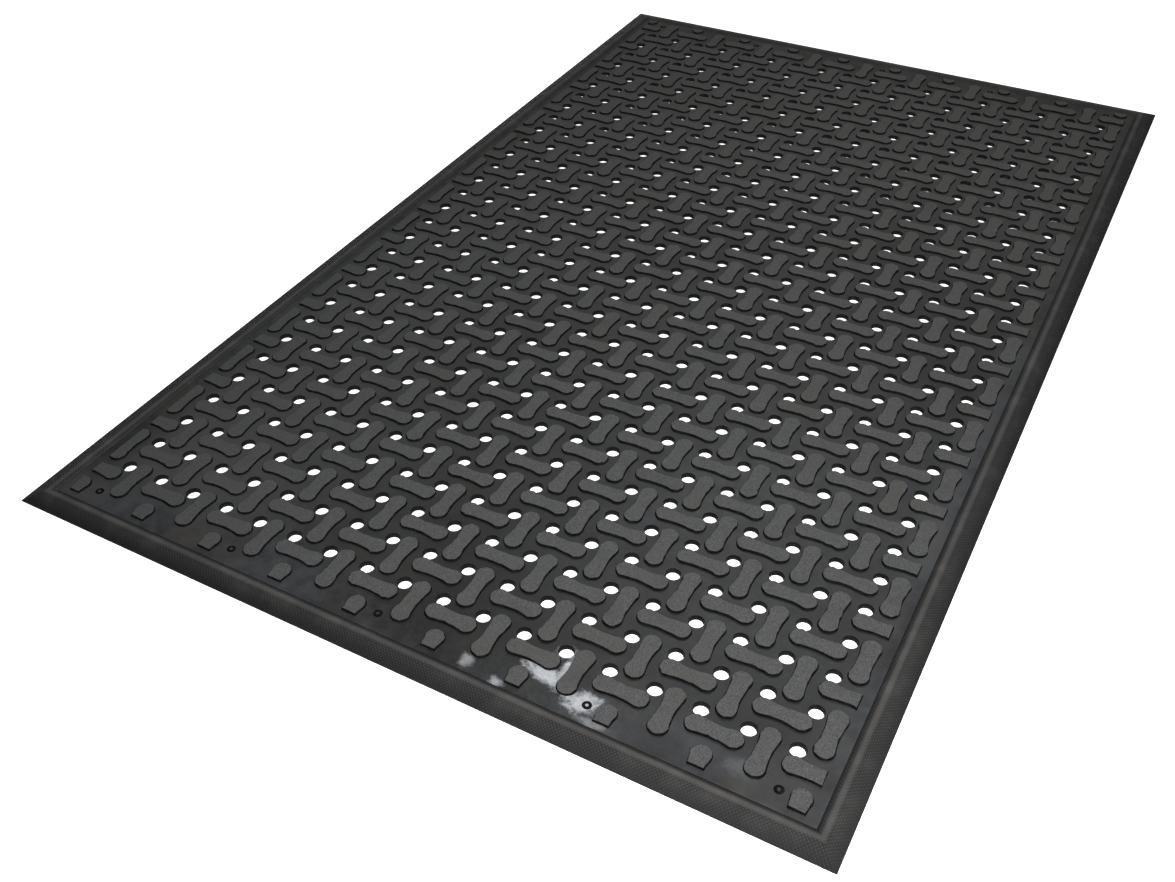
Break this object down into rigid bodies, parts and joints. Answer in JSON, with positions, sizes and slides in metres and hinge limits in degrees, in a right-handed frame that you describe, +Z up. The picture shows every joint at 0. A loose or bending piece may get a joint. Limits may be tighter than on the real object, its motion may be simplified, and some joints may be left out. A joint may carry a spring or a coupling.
{
  "type": "rubber drainage floor mat",
  "caption": "Rectangular moulded rubber floor mat with round drain holes, a basketweave of raised treads and a ramped border.",
  "frame": {"origin": "on the floor under the middle of the mat", "axes": "+Y along the mat's length, +X across its width, +Z up"},
  "size_m": [0.9, 1.49, 0.0085],
  "materials": {
    "rubber": "matte moulded rubber with a fine grit on the treads"
  },
  "bodies": {
    "root": {"mat": "rubber"}
  },
  "joints": []
}
